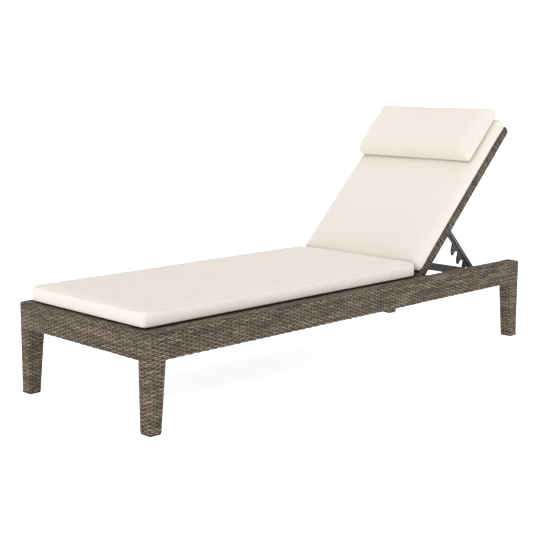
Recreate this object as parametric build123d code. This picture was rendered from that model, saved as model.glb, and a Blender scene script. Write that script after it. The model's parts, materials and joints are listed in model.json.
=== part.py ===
"""Reclining sun lounger: a wicker-wrapped aluminium bed with a hinged back on two hooked stays.

Millimetres. The origin is on the floor under the middle of the bed, +X runs from the foot
end to the head end and +Z is up. The back stands at its steepest setting.
"""

import os
from math import asin, cos, degrees, radians, sin, sqrt

from build123d import *

# Bed frame
bed_length = 2000.0
bed_width = 706.0
rail_top = 321.0
rail_depth = 90.0
rail_width = 55.5
weave = 3.5
tube_wall = 2.5
rail_top_round = 9.0
rail_bottom_round = 5.0
rail_end_round = 15.0

# Legs, which taper on their inner faces only
leg_top_length = 68.0
leg_foot_length = 47.0
leg_foot_width = 51.0
leg_plate = 8.0
glide_height = 6.0
glide_inset = 2.0
glide_peg = 14.0

# Seat deck
deck_drop = 2.0
deck_thickness = 5.0
deck_setback = 8.0
batten_width = 18.0
batten_height = 6.0
cross_tube = 30.0
cross_tube_count = 4

# Back frame, in its own axes: u runs up the back, w out of its front, from the hinge
recline = 45.0
hinge_x = 407.0
hinge_drop = 5.5
back_length = 784.0
back_tube = 40.0
back_side_gap = 6.5
back_round = 9.0
bare_tube_length = 25.0
bare_tube_depth = 22.0
panel_thickness = 5.0
panel_inset = 1.0
lower_tube_at = 18.0
upper_tube_at = 664.0
edge_strip_width = 20.0
edge_strip_height = 3.5
edge_strip_inset = 3.0

# Stays, in their own axes: s runs down the stay, n towards the foot end, from its pivot
stay_arm = 279.5
stay_side_gap = 12.0
stay_tube_width = 16.0
stay_panel_gap = 2.0
stay_tube_depth = 14.0
rack_thickness = 7.0
rack_root = 13.0
rack_panel_gap = 1.0
tooth_start = 130.0
tooth_pitch = 56.0
tooth_count = 3
seat_offset = 16.0
seat_drop = 12.5
stay_tail = 55.0
tie_rod_setback = 12.0
tie_rod_gap = 3.0
tie_rod_radius = 5.0
tail_lobe = 12.0

# Hook bar across the bed
bar_length = 20.0
bar_depth = 30.0
bar_lift = 4.5
bar_side_gap = 1.5
lip_lift = 2.4
lip_width = 5.0
lip_relief_run = 54.0
lip_relief_rise = 22.0
bar_end_gap = 1.5
bar_foot_depth = 28.0
bar_foot_length = 30.0
bar_foot_reach = 25.0
rest_pad_gap = 1.3
rest_pad_inset = 5.0

# Hinges and fasteners
plate_thickness = 4.0
hinge_plate_length = 64.0
hinge_plate_depth = 60.0
bar_plate_length = 60.0
bar_plate_depth = 48.0
pin_radius = 5.0
pin_bush_radius = 8.0
rod_radius = 6.0
rod_bush_radius = 8.5
running_gap = 0.05
ear_thickness = 4.0
ear_gap = 1.5
ear_width = 24.0
ear_overhang = 11.0
bolt_radius = 4.0
bolt_head_radius = 7.0
bolt_head_height = 4.0
bolt_hole_gap = 0.1
bolt_spacing = 40.0

# Cushions
seat_cushion_start = 18.0
seat_cushion_end = 352.0
seat_cushion_overhang = 8.5
seat_cushion_thickness = 57.0
back_cushion_start = -3.0
back_cushion_overhang = 11.5
back_cushion_thickness = 60.0
cushion_round = 18.0
cushion_gap = 0.5
pillow_length = 280.0
pillow_inset = 1.5
pillow_thickness = 66.0
pillow_over = 6.0
pillow_round = 26.0
grip_thickness = 1.5
grip_length = 60.0
grip_inset = 60.0

# Places worked out from the sizes above
half_length = bed_length / 2
half_width = bed_width / 2
rail_inner = half_width - rail_width
rail_bottom = rail_top - rail_depth
deck_top = rail_top - deck_drop
deck_bottom = deck_top - deck_thickness
batten_top = deck_top + batten_height
deck_start = -half_length + rail_width
deck_end = seat_cushion_end - deck_setback
hinge_z = rail_top - hinge_drop
back_half_depth = back_tube / 2
back_half_width = rail_inner - back_side_gap
back_inner = back_half_width - back_tube
panel_front = back_half_depth - panel_inset
panel_back = panel_front - panel_thickness
bare_tube_front = panel_back
stay_back_edge = panel_back - stay_panel_gap
tie_rod_offset = stay_tube_depth - stay_back_edge + tie_rod_radius + tie_rod_gap
rack_eye = panel_back - rack_panel_gap
stay_centre = back_inner - stay_side_gap - stay_tube_width / 2
leg_top_width = rail_width
seat_cushion_half_width = rail_inner + seat_cushion_overhang
back_cushion_half_width = rail_inner + back_cushion_overhang
pillow_half_width = rail_inner - pillow_inset
mid_tube_at = stay_arm - rack_eye - bare_tube_length - 13.5
cushion_back = back_half_depth + edge_strip_height + cushion_gap
pillow_back = cushion_back + back_cushion_thickness + grip_thickness + cushion_gap
tilt = radians(recline)
pivot_x = hinge_x + stay_arm * cos(tilt)
pivot_z = hinge_z + stay_arm * sin(tilt)
seat_along = sqrt(stay_arm**2 - seat_offset**2)
seat_z = hinge_z - seat_drop
stay_slope = asin((pivot_z - seat_z) / stay_arm) - asin(seat_offset / stay_arm)
seat_x = pivot_x + seat_along * cos(stay_slope) - seat_offset * sin(stay_slope)
bar_x = seat_x - 2.0
bar_top = seat_z - bar_lift
bar_bottom = bar_top - bar_depth
bar_half = back_inner - bar_end_gap
stay_end = seat_along + stay_tail
rod_half = back_inner - 5.0

IN_BACK = Pos(hinge_x, 0, hinge_z) * Rot(0, -recline, 0)
IN_STAY = Pos(pivot_x, 0, pivot_z) * Rot(0, degrees(stay_slope), 0)
SIDES = {"left": -1, "right": 1}
ENDS = {"foot": -1, "head": 1}


def block(x, y, z):
    """A box between two values on each axis."""
    size = [max(pair) - min(pair) for pair in (x, y, z)]
    middle = [(pair[0] + pair[1]) / 2 for pair in (x, y, z)]
    return Pos(*middle) * Box(*size)


def rod(x, y, z, radius):
    """A round bar along Y between two values."""
    length = max(y) - min(y)
    return Pos(x, (y[0] + y[1]) / 2, z) * Rot(90, 0, 0) * Cylinder(radius, length)


def across(side, inner, outer):
    """The Y span from inner to outer on the left or the right side."""
    return sorted((side * inner, side * outer))


def hollow(x, y, z, wall, open_axis=None):
    """A box with an even wall, open at both ends along open_axis if one is named."""
    spans = dict(zip("xyz", (x, y, z)))
    inner = {}
    for axis, (low, high) in spans.items():
        inset = -1.0 if axis == open_axis else wall
        inner[axis] = (min(low, high) + inset, max(low, high) - inset)
    return block(x, y, z) - block(inner["x"], inner["y"], inner["z"])


def plan_face(x, y, z):
    """A level rectangle at height z."""
    middle = Pos((x[0] + x[1]) / 2, (y[0] + y[1]) / 2, z)
    return middle * Rectangle(abs(x[1] - x[0]), abs(y[1] - y[0]))


def side_plate(points, y):
    """A flat plate with an outline in X and Z, between two values of Y."""
    outline = make_face(Polyline(*[(x, 0, z) for x, z in points], close=True))
    low, high = sorted(y)
    return Pos(0, high, 0) * extrude(outline, high - low, dir=(0, -1, 0))


def rounded_rail(x, y, z, end_corners):
    """A rail's outer form: soft long edges and rounded upright corners where it ends."""
    body = block(x, y, z)
    ends = body.edges().filter_by(Axis.Z)
    if end_corners:
        picked = [edge for edge in ends if end_corners(edge.center())]
        body = fillet(picked, rail_end_round)
    top = body.faces().sort_by(Axis.Z)[-1].edges()
    body = fillet(top, rail_top_round)
    bottom = body.faces().sort_by(Axis.Z)[0].edges()
    return fillet(bottom, rail_bottom_round)


parts = {}

# Side rails, and the foot rail between them
rail_z = (rail_bottom, rail_top)
core_z = (rail_bottom + weave, rail_top - weave)
bolt_tools = []
for name, side in SIDES.items():
    rail_y = across(side, rail_inner, half_width)
    core_y = across(side, rail_inner + weave, half_width - weave)
    rail_x = (-half_length, half_length)
    core_x = (-half_length + weave, half_length - weave)
    outer = rounded_rail(rail_x, rail_y, rail_z, lambda point: abs(point.Y) > half_width - 1)
    parts[f"side_rail_weave_{name}"] = outer - block(core_x, core_y, core_z)
    parts[f"side_rail_tube_{name}"] = hollow(core_x, core_y, core_z, tube_wall)

foot_x = (-half_length, -half_length + rail_width)
foot_core_x = (foot_x[0] + weave, foot_x[1] - weave)
foot_y = (-rail_inner, rail_inner)
foot_outer = block(foot_x, foot_y, rail_z)
foot_long_edges = foot_outer.edges().filter_by(Axis.Y)
foot_outer = fillet(foot_long_edges.group_by(Axis.Z)[-1], rail_top_round)
foot_outer = fillet(foot_outer.edges().filter_by(Axis.Y).group_by(Axis.Z)[0], rail_bottom_round)
parts["foot_rail_weave"] = foot_outer - block(foot_core_x, foot_y, core_z)
parts["foot_rail_tube"] = hollow(foot_core_x, foot_y, core_z, tube_wall, "y")


# Legs: a tapered woven sleeve, the tapered tube inside it and a glide under it
def leg_form(end, side, inset, low, high):
    """A leg's tapered form, set in by inset, from one height to another."""
    faces = []
    for z in (low, high):
        share = (z - glide_height) / (rail_bottom - glide_height)
        long = leg_foot_length + (leg_top_length - leg_foot_length) * share
        wide = leg_foot_width + (leg_top_width - leg_foot_width) * share
        x = sorted((end * (half_length - inset), end * (half_length - long + inset)))
        y = across(side, half_width - wide + inset, half_width - inset)
        faces.append(plan_face(x, y, z))
    return loft(faces)


leg_bolts = []
for end_name, end in ENDS.items():
    for name, side in SIDES.items():
        tag = f"{end_name}_{name}"
        outer = leg_form(end, side, 0, glide_height, rail_bottom)
        core = leg_form(end, side, weave, glide_height, rail_bottom)
        bore = leg_form(end, side, weave + tube_wall, glide_height, rail_bottom - leg_plate)
        peg_x = end * (half_length - leg_foot_length / 2)
        peg_y = side * (half_width - leg_foot_width / 2)
        upright = [edge for edge in outer.edges() if abs(edge.tangent_at(0).Z) > 0.9]
        sleeve = fillet(upright, weave) - core
        parts[f"leg_weave_{tag}"] = sleeve
        tube = core - bore
        for step in (-1, 1):
            bolt_x = end * (half_length - leg_top_length / 2) + step * bolt_spacing / 4
            bolt_y = side * (half_width - rail_width / 2)
            shank_low = rail_bottom - leg_plate
            head_low = rail_bottom + weave + tube_wall
            shank = Pos(bolt_x, bolt_y, (shank_low + head_low) / 2)
            hole = shank * Cylinder(bolt_radius + bolt_hole_gap, head_low - shank_low)
            tube -= hole
            parts[f"side_rail_weave_{name}"] -= hole
            parts[f"side_rail_tube_{name}"] -= hole
            head = Pos(bolt_x, bolt_y, head_low + bolt_head_height / 2)
            bolt = shank * Cylinder(bolt_radius, head_low - shank_low)
            leg_bolts.append(bolt + head * Cylinder(bolt_head_radius, bolt_head_height))
        parts[f"leg_tube_{tag}"] = tube
        glide_x = (peg_x - leg_foot_length / 2 + glide_inset, peg_x + leg_foot_length / 2 - glide_inset)
        glide_y = (peg_y - leg_foot_width / 2 + glide_inset, peg_y + leg_foot_width / 2 - glide_inset)
        pad = block(glide_x, glide_y, (0, glide_height))
        pad = chamfer(pad.faces().sort_by(Axis.Z)[0].edges(), glide_inset / 2)
        peg = leg_form(end, side, weave + tube_wall + bolt_hole_gap, glide_height, glide_height + glide_peg)
        parts[f"leg_glide_{tag}"] = pad + peg
parts["leg_bolts"] = Compound(children=leg_bolts)

# Seat deck: a woven panel on bare cross tubes, with a batten along each side
deck_y = (-rail_inner, rail_inner)
parts["seat_deck_weave"] = block((deck_start, deck_end), deck_y, (deck_bottom, deck_top))
cross_tubes = []
for index in range(cross_tube_count):
    share = (index + 1) / cross_tube_count
    tube_end = deck_start + (deck_end - deck_start) * share
    tube_z = (deck_bottom - cross_tube, deck_bottom)
    cross_tubes.append(hollow((tube_end - cross_tube, tube_end), deck_y, tube_z, tube_wall, "y"))
parts["seat_cross_tubes"] = Compound(children=cross_tubes)

battens = []
for side in SIDES.values():
    batten_y = across(side, rail_inner - batten_width, rail_inner)
    battens.append(block((deck_start, deck_end), batten_y, (deck_top, batten_top)))
parts["seat_battens"] = Compound(children=battens)

# Hook bar, its two feet and their plates on the side rails
bar_x_span = (bar_x - bar_length / 2, bar_x + bar_length / 2)
bar_z_span = (bar_bottom, bar_top)
parts["hook_bar"] = hollow(bar_x_span, (-bar_half, bar_half), bar_z_span, tube_wall)
frame_bolts = []
rest_pads = []


def frame_bolt(x, z, side, name):
    """One bolt through a plate into the side rail, with its hole in the rail."""
    plate_face = rail_inner - plate_thickness
    deep = rail_inner + weave + tube_wall
    hole = rod(x, across(side, plate_face, deep), z, bolt_radius + bolt_hole_gap)
    parts[f"side_rail_weave_{name}"] -= hole
    parts[f"side_rail_tube_{name}"] -= hole
    shank = rod(x, across(side, plate_face, deep), z, bolt_radius)
    head = rod(x, across(side, plate_face - bolt_head_height / 2, plate_face), z, bolt_head_radius)
    frame_bolts.append(shank + head)
    return hole


for name, side in SIDES.items():
    plate_y = across(side, rail_inner - plate_thickness, rail_inner)
    foot_x = (bar_x - bar_foot_length / 2, bar_x + bar_foot_length / 2)
    foot_y = across(side, bar_half - bar_foot_reach, rail_inner - plate_thickness)
    foot = block(foot_x, foot_y, (bar_bottom - bar_foot_depth, bar_bottom))
    plate_x = (bar_x - bar_plate_length / 2, bar_x + bar_plate_length / 2)
    plate_low = bar_bottom - bar_foot_depth - 2.0
    plate = block(plate_x, plate_y, (plate_low, plate_low + bar_plate_depth))
    bracket = foot + plate
    for step in (-1, 1):
        bolt_z = plate_low + bar_plate_depth / 2
        bracket -= frame_bolt(bar_x + step * bolt_spacing * 0.56, bolt_z, side, name)
    parts[f"hook_bar_bracket_{name}"] = bracket
    pad_y = across(side, back_inner + rest_pad_inset, back_half_width - rest_pad_inset)
    pad_top = hinge_z - back_half_depth - rest_pad_gap
    rest_pads.append(block(foot_x, pad_y, (bar_bottom, pad_top)))
parts["rest_pads"] = Compound(children=rest_pads)

# Hinge plates with their pins, on the side rails
for name, side in SIDES.items():
    plate_y = across(side, rail_inner - plate_thickness, rail_inner)
    plate_x = (hinge_x - hinge_plate_length / 2, hinge_x + hinge_plate_length / 2)
    plate = block(plate_x, plate_y, (rail_top - hinge_plate_depth, rail_top - 0.5))
    for step in (-1, 1):
        bolt_z = rail_top - hinge_plate_depth + 14.0
        plate -= frame_bolt(hinge_x + step * bolt_spacing / 2, bolt_z, side, name)
    parts[f"hinge_plate_{name}"] = plate
    pin_y = across(side, back_inner - 3.0, rail_inner - plate_thickness)
    parts[f"hinge_pin_{name}"] = rod(hinge_x, pin_y, hinge_z, pin_radius)
parts["frame_bolts"] = Compound(children=frame_bolts)

# Back frame, built lying flat with the hinge at the origin
side_u = (-back_half_depth, back_length)
tube_w = (-back_half_depth, back_half_depth)
side_core_u = (-back_half_depth + weave, back_length - weave)
core_w = (-back_half_depth + weave, back_half_depth - weave)
for name, side in SIDES.items():
    tube_y = across(side, back_inner, back_half_width)
    core_y = across(side, back_inner + weave, back_half_width - weave)
    form = block(side_u, tube_y, tube_w)
    ends = form.edges().filter_by(Axis.Y)
    form = fillet(ends, back_round)
    bore = rod(0, across(side, back_inner, back_half_width), 0, pin_bush_radius)
    sleeve = form - block(side_core_u, core_y, core_w) - bore
    core = hollow(side_core_u, core_y, core_w, tube_wall) - bore
    bush = bore - rod(0, across(side, back_inner, back_half_width), 0, pin_radius + running_gap)
    parts[f"back_side_weave_{name}"] = IN_BACK * sleeve
    parts[f"back_side_tube_{name}"] = IN_BACK * core
    parts[f"hinge_bush_{name}"] = IN_BACK * bush

top_u = (back_length - back_tube, back_length)
top_core_u = (top_u[0] + weave, top_u[1] - weave)
top_y = (-back_inner, back_inner)
top_form = block(top_u, top_y, tube_w)
top_form = fillet(top_form.edges().filter_by(Axis.Y), back_round)
parts["back_top_weave"] = IN_BACK * (top_form - block(top_core_u, top_y, core_w))
parts["back_top_tube"] = IN_BACK * hollow(top_core_u, top_y, core_w, tube_wall, "y")

bare_w = (bare_tube_front - bare_tube_depth, bare_tube_front)
bare_tubes = {
    "back_lower_tube": lower_tube_at,
    "back_stay_tube": mid_tube_at,
    "back_upper_tube": upper_tube_at,
}
for name, start in bare_tubes.items():
    bare_u = (start, start + bare_tube_length)
    parts[name] = IN_BACK * hollow(bare_u, top_y, bare_w, tube_wall, "y")

panel_u = (lower_tube_at - panel_thickness, back_length - back_tube)
parts["back_panel_weave"] = IN_BACK * block(panel_u, top_y, (panel_back, panel_front))

strips = []
for side in SIDES.values():
    strip_edge = back_half_width - edge_strip_inset
    strip_y = across(side, strip_edge - edge_strip_width, strip_edge)
    strip_w = (back_half_depth, back_half_depth + edge_strip_height)
    strips.append(block((0, back_length - back_round), strip_y, strip_w))
parts["back_edge_strips"] = IN_BACK * Compound(children=strips)

# Stay brackets and the pivot rod that they carry
ear_start = mid_tube_at + bare_tube_length
for name, side in SIDES.items():
    inner = stay_centre - stay_tube_width / 2 - ear_gap - ear_thickness
    outer = stay_centre + stay_tube_width / 2 + ear_gap + ear_thickness
    ear_w = (bare_tube_front - ear_width, bare_tube_front)
    form = block((ear_start, stay_arm + ear_overhang), across(side, inner, outer), ear_w)
    slot_y = across(side, inner + ear_thickness, outer - ear_thickness)
    slot_u = (ear_start + ear_thickness, stay_arm + 2 * ear_overhang)
    form -= block(slot_u, slot_y, (ear_w[0] - 1, ear_w[1] + 1))
    form -= rod(stay_arm, across(side, inner, outer), 0, rod_radius)
    parts[f"stay_bracket_{name}"] = IN_BACK * form
parts["stay_pivot_rod"] = IN_BACK * rod(stay_arm, (-rod_half, rod_half), 0, rod_radius)


# Stays: a tube with a hooked rack along its foot side, built lying level from its pivot
def tooth(start):
    """One downward hook: a straight outer side, a round tip and an undercut throat."""
    back_side = [(start - 4, -2), (start, -11), (start + 14, -37)]
    tip = [(start + 26, -47), (start + 33, -49), (start + 38, -46), (start + 39, -41)]
    throat = [(start + 36, -30), (start + 41, -19), (start + 50, -14), (start + 60, -rack_root)]
    return back_side + tip + throat + [(start + 60, -2)]


def rack(y):
    """The hooked plate, with its eye, hooks, tail and the shallow seat over the hook bar."""
    front = stay_tube_depth - stay_back_edge
    plate = block((0, stay_end), y, (-rack_root, -front))
    plate += rod(0, y, 0, rack_eye)
    plate += rod(stay_end - tie_rod_setback, y, -tie_rod_offset, tail_lobe)
    for index in range(tooth_count):
        plate += side_plate(tooth(tooth_start + tooth_pitch * index), y)
    tail_cut = block((-rack_eye, stay_end + tail_lobe), y, (-front, rack_eye))
    plate -= tail_cut & block((rack_eye, stay_end + tail_lobe), y, (-front, rack_eye))
    plate -= rod(0, y, 0, rod_bush_radius)
    plate -= rod(stay_end - tie_rod_setback, y, -tie_rod_offset, tie_rod_radius)
    return plate


bar_foot_face = bar_x - bar_length / 2 - bar_side_gap
bar_head_face = bar_x + bar_length / 2 + bar_side_gap
lip_z = bar_top + lip_lift
seat_points = [
    (bar_head_face, seat_z),
    (bar_foot_face, seat_z),
    (bar_foot_face, lip_z),
    (bar_foot_face - lip_width, lip_z),
    (bar_foot_face - lip_width - lip_relief_run, lip_z + lip_relief_rise),
    (bar_foot_face - lip_width - lip_relief_run, bar_bottom),
    (bar_head_face, bar_bottom),
]
for name, side in SIDES.items():
    rack_y = across(side, stay_centre - rack_thickness / 2, stay_centre + rack_thickness / 2)
    tube_y = across(side, stay_centre - stay_tube_width / 2, stay_centre + stay_tube_width / 2)
    seat_cut = side_plate(seat_points, rack_y)
    parts[f"stay_rack_{name}"] = IN_STAY * rack(rack_y) - seat_cut
    stay_z = (stay_back_edge - stay_tube_depth, stay_back_edge)
    tube = hollow((rack_eye + 1, stay_end), tube_y, stay_z, tube_wall)
    parts[f"stay_tube_{name}"] = IN_STAY * tube
    bush = rod(0, rack_y, 0, rod_bush_radius) - rod(0, rack_y, 0, rod_radius + running_gap)
    parts[f"stay_bush_{name}"] = IN_STAY * bush
tie_half = stay_centre + rack_thickness / 2 + 3.0
tie_s = stay_end - tie_rod_setback
parts["stay_tie_rod"] = IN_STAY * rod(tie_s, (-tie_half, tie_half), -tie_rod_offset, tie_rod_radius)

# Cushions, as plain rounded solids
seat_x_span = (-half_length + seat_cushion_start, seat_cushion_end)
seat_y_span = (-seat_cushion_half_width, seat_cushion_half_width)
seat_low = batten_top + cushion_gap
seat_pad = block(seat_x_span, seat_y_span, (seat_low, seat_low + seat_cushion_thickness))
parts["seat_cushion"] = fillet(seat_pad.edges(), cushion_round)

pad_u = (back_cushion_start, back_length)
pad_y = (-back_cushion_half_width, back_cushion_half_width)
pad_w = (cushion_back, cushion_back + back_cushion_thickness)
parts["back_cushion"] = IN_BACK * fillet(block(pad_u, pad_y, pad_w).edges(), cushion_round)

pillow_end = back_length + pillow_over
pillow_u = (pillow_end - pillow_length, pillow_end)
pillow_y = (-pillow_half_width, pillow_half_width)
pillow_w = (pillow_back, pillow_back + pillow_thickness)
parts["head_pillow"] = IN_BACK * fillet(block(pillow_u, pillow_y, pillow_w).edges(), pillow_round)

grip_w = (cushion_back + back_cushion_thickness, pillow_back - cushion_gap)
grip_middle = pillow_end - pillow_length / 2
grip_u = (grip_middle - grip_length / 2, grip_middle + grip_length / 2)
grip_y = (-pillow_half_width + grip_inset, pillow_half_width - grip_inset)
parts["pillow_grip_strip"] = IN_BACK * block(grip_u, grip_y, grip_w)

os.makedirs("parts", exist_ok=True)
for node, shape in parts.items():
    export_step(shape, f"parts/{node}.step")
print(len(parts), "nodes")
print("hinge", hinge_x, hinge_z, "pivot", round(pivot_x, 3), round(pivot_z, 3))
print("bar", round(bar_x, 2), round(bar_top, 2), "stay slope", round(degrees(stay_slope), 3))
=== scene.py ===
import json
from math import cos, pi, radians, sin

import bmesh
import bpy
import numpy as np
from mathutils import Matrix, Vector
from mathutils.bvhtree import BVHTree


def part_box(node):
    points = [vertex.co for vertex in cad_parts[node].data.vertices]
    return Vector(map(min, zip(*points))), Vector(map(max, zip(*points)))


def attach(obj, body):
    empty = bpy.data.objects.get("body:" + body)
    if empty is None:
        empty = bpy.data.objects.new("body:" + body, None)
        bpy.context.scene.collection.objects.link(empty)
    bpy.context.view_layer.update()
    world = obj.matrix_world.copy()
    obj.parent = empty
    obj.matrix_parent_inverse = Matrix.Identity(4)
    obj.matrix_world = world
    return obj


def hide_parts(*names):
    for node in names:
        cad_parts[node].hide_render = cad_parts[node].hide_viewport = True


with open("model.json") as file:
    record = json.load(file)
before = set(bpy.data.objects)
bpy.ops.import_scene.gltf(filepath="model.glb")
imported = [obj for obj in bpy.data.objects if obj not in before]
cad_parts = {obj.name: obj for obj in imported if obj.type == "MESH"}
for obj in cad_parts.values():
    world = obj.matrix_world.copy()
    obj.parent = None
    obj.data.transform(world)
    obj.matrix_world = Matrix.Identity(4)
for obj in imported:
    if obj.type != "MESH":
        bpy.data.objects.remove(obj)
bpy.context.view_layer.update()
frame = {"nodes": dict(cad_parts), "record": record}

MM = 0.001
nodes = frame["nodes"]
rest = bpy.context.scene.collection


# ---------------------------------------------------------------- the bed's own sizes
def span(node, axis):
    """Lowest and highest value of a CAD node on one axis."""
    low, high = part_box(node)
    return low[axis], high[axis]


RAIL_X = span("side_rail_weave_left", 0)
RAIL_Z = span("side_rail_weave_left", 2)
OUTER_Y = span("side_rail_weave_right", 1)[1]
INNER_Y = span("side_rail_weave_right", 1)[0]
RAIL_WIDTH = OUTER_Y - INNER_Y
GLIDE_TOP = span("leg_weave_foot_left", 2)[0]
CORNER = 15 * MM
LEG_FOOT_LENGTH = 47 * MM
LEG_FOOT_WIDTH = 51 * MM
LEG_INNER_ROUND = 6 * MM

# The weave: rows of flat strands over upright stakes
ROW = 6.4 * MM
STAKE = 17.0 * MM
RISE = 1.05 * MM
STRAND_SHARE = 0.9
SHADE_STRETCH = (60, 130)
WANDER = 0.45 * MM
THINNEST_FACE = 2e-9

# The back, on its hinge
joints = {joint["name"]: joint for joint in frame["record"]["behaviour"]["joints"]}
HINGE = Vector(joints["back_recline"]["pos_m"])
RECLINE = radians(45)
UP_BACK = Vector((cos(RECLINE), 0, sin(RECLINE)))
OFF_BACK = Vector((-sin(RECLINE), 0, cos(RECLINE)))
BACK_LENGTH = 784 * MM
BACK_TUBE = 40 * MM
BACK_HALF_WIDTH = span("back_side_weave_right", 1)[1]
BACK_TUBE_MIDDLE = BACK_HALF_WIDTH - BACK_TUBE / 2


def on_back(points):
    """Points given as up the back, across and out of its front, put in the shared frame."""
    points = np.asarray(points, float)
    return (np.array(HINGE)[None, :] + points[:, :1] * np.array(UP_BACK)
            + points[:, 1:2] * np.array((0.0, 1.0, 0.0)) + points[:, 2:3] * np.array(OFF_BACK))


# ---------------------------------------------------------------- shader groups
def shader_group(name, inputs, outputs):
    """An empty shader group with named sockets, and its input and output nodes."""
    tree = bpy.data.node_groups.new(name, "ShaderNodeTree")
    for label, kind, value in inputs:
        socket = tree.interface.new_socket(name=label, in_out="INPUT", socket_type=kind)
        if value is not None:
            socket.default_value = value
    for label, kind in outputs:
        tree.interface.new_socket(name=label, in_out="OUTPUT", socket_type=kind)
    return tree, tree.nodes.new("NodeGroupInput"), tree.nodes.new("NodeGroupOutput")


class Wiring:
    """Short calls for adding and linking the nodes of one tree."""

    def __init__(self, tree):
        self.tree = tree

    def add(self, kind, inputs=None, **settings):
        node = self.tree.nodes.new(kind)
        for key, value in settings.items():
            setattr(node, key, value)
        for key, value in (inputs or {}).items():
            self.feed(node.inputs[key], value)
        return node

    def feed(self, socket, value):
        if isinstance(value, bpy.types.NodeSocket):
            self.tree.links.new(value, socket)
        else:
            socket.default_value = value

    def math(self, operation, *values, clamp=False):
        node = self.tree.nodes.new("ShaderNodeMath")
        node.operation = operation
        node.use_clamp = clamp
        for index, value in enumerate(values):
            self.feed(node.inputs[index], value)
        return node.outputs[0]

    def mix(self, factor, first, second, blend="MIX"):
        node = self.tree.nodes.new("ShaderNodeMix")
        node.data_type = "RGBA"
        node.blend_type = blend
        self.feed(node.inputs[0], factor)
        self.feed(node.inputs[6], first)
        self.feed(node.inputs[7], second)
        return node.outputs[2]

    def noise(self, vector, scale, detail=3.0, roughness=0.5):
        node = self.add("ShaderNodeTexNoise", {"Vector": vector, "Scale": scale, "Detail": detail,
                                               "Roughness": roughness})
        return node.outputs[0]

    def ramp(self, value, low, high):
        node = self.add("ShaderNodeMapRange", {"Value": value, "From Min": low, "From Max": high})
        return node.outputs[0]

    def stretched(self, vector, scale):
        node = self.add("ShaderNodeMapping", {"Vector": vector, "Scale": scale})
        return node.outputs[0]


COLOUR, NUMBER, DIRECTION = "NodeSocketColor", "NodeSocketFloat", "NodeSocketVector"


def make_strand_group():
    """Extruded resin strand: fine drawn lines along it, sun fade, and painted shade in the low places."""
    inputs = [("Vector", DIRECTION, None), ("Light", COLOUR, (0.3, 0.25, 0.21, 1)),
              ("Dark", COLOUR, (0.1, 0.08, 0.065, 1)), ("Tone", NUMBER, 0.5), ("Depth", NUMBER, 0.5)]
    outputs = [("Color", COLOUR), ("Roughness", NUMBER), ("Height", NUMBER)]
    tree, given, result = shader_group("resin strand", inputs, outputs)
    w = Wiring(tree)
    place = given.outputs["Vector"]
    patches = w.noise(place, 22.0, 3.0, 0.6)
    drawn = w.noise(w.stretched(place, (160.0, 160.0, 1400.0)), 1.0, 2.0, 0.6)
    specks = w.noise(place, 900.0, 2.0, 0.6)
    shade = w.math("ADD", w.math("MULTIPLY", given.outputs["Tone"], 0.78),
                   w.math("MULTIPLY", w.ramp(patches, 0.3, 0.7), 0.22))
    colour = w.mix(shade, given.outputs["Dark"], given.outputs["Light"])
    colour = w.mix(w.math("MULTIPLY", w.ramp(drawn, 0.45, 0.7), 0.12), colour, (0.46, 0.40, 0.33, 1))
    # painted shade: the low places between and under the strands are darkened almost to black
    low_place_shade = w.math("SUBTRACT", 1.0, given.outputs["Depth"], clamp=True)
    colour = w.mix(w.math("MULTIPLY", low_place_shade, 0.95), colour, (0.016, 0.011, 0.008, 1))
    w.feed(result.inputs["Color"], colour)
    w.feed(result.inputs["Roughness"], w.math("ADD", 0.5, w.math("MULTIPLY", patches, 0.25)))
    height = w.math("ADD", w.math("MULTIPLY", drawn, 0.7), w.math("MULTIPLY", specks, 0.3))
    w.feed(result.inputs["Height"], height)
    return tree


def make_canvas_group():
    """Plain woven canvas: two crossing sets of threads, slubs, soft uneven tone, and painted shade in the
    gaps between threads.
    """
    inputs = [("Vector", DIRECTION, None), ("Cloth", COLOUR, (0.84, 0.8, 0.75, 1)),
              ("Tone and shade", COLOUR, (0.6, 0.54, 0.47, 1)), ("Threads", NUMBER, 900.0)]
    outputs = [("Color", COLOUR), ("Roughness", NUMBER), ("Height", NUMBER)]
    tree, given, result = shader_group("woven canvas", inputs, outputs)
    w = Wiring(tree)
    place = given.outputs["Vector"]
    axes = w.add("ShaderNodeSeparateXYZ", {"Vector": place}).outputs
    lift = w.math("ADD", axes[0], axes[2])
    warp = w.math("ABSOLUTE", w.math("SINE", w.math("MULTIPLY", lift, given.outputs["Threads"])))
    weft = w.math("ABSOLUTE", w.math("SINE", w.math("MULTIPLY", axes[1], given.outputs["Threads"])))
    threads = w.math("MULTIPLY", warp, weft)
    slub_across = w.noise(w.stretched(place, (420.0, 26.0, 420.0)), 1.0, 2.0, 0.6)
    slub_along = w.noise(w.stretched(place, (26.0, 420.0, 26.0)), 1.0, 2.0, 0.6)
    slubs = w.math("MAXIMUM", slub_across, slub_along)
    cloudy = w.noise(place, 7.0, 3.0, 0.55)
    fine = w.noise(place, 260.0, 3.0, 0.6)
    amount = w.math("ADD", w.math("MULTIPLY", w.ramp(slubs, 0.5, 0.78), 0.16),
                    w.math("MULTIPLY", w.ramp(cloudy, 0.35, 0.75), 0.07))
    amount = w.math("ADD", amount, w.math("MULTIPLY", w.ramp(fine, 0.4, 0.75), 0.09))
    # painted shade: the gaps between the threads are darkened a little toward the darker colour, which the
    # slubs and uneven tone also use
    thread_gap_shade = w.math("MULTIPLY", w.math("SUBTRACT", 1.0, threads), 0.10)
    w.feed(result.inputs["Color"],
           w.mix(w.math("ADD", amount, thread_gap_shade, clamp=True), given.outputs["Cloth"], given.outputs["Tone and shade"]))
    w.feed(result.inputs["Roughness"], w.math("ADD", 0.82, w.math("MULTIPLY", fine, 0.12)))
    height = w.math("ADD", w.math("MULTIPLY", threads, 0.5), w.math("MULTIPLY", slubs, 0.9))
    w.feed(result.inputs["Height"], height)
    return tree


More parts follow.
